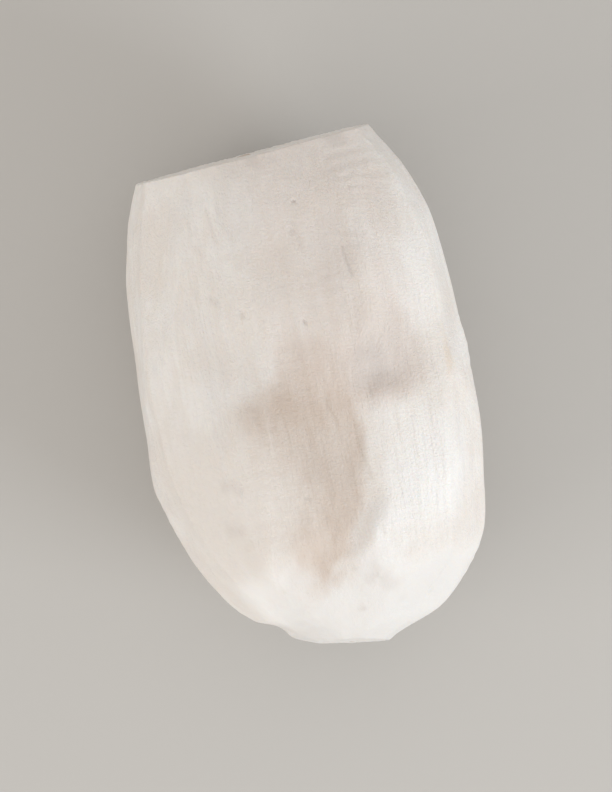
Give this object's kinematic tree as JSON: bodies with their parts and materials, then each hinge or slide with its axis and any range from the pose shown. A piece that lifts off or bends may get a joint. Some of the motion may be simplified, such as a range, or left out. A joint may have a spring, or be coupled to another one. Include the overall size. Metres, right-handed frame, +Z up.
{
  "type": "peeled cassava root",
  "caption": "Short, thick peeled cassava root with a whittled tail, a flat head cut and knife-pared sides, lying on its side.",
  "frame": {"origin": "on the surface that the root lies on, under the middle of its box", "axes": "+Y along the root from the whittled tail to the flat head cut, +X to the right seen from above with the head up, +Z up"},
  "size_m": [0.0674, 0.1026, 0.0543],
  "materials": {
    "flesh": "moist, matt, starchy root flesh, creamy white and slightly translucent"
  },
  "bodies": {
    "root": {"cassava_root": "flesh"}
  },
  "joints": []
}
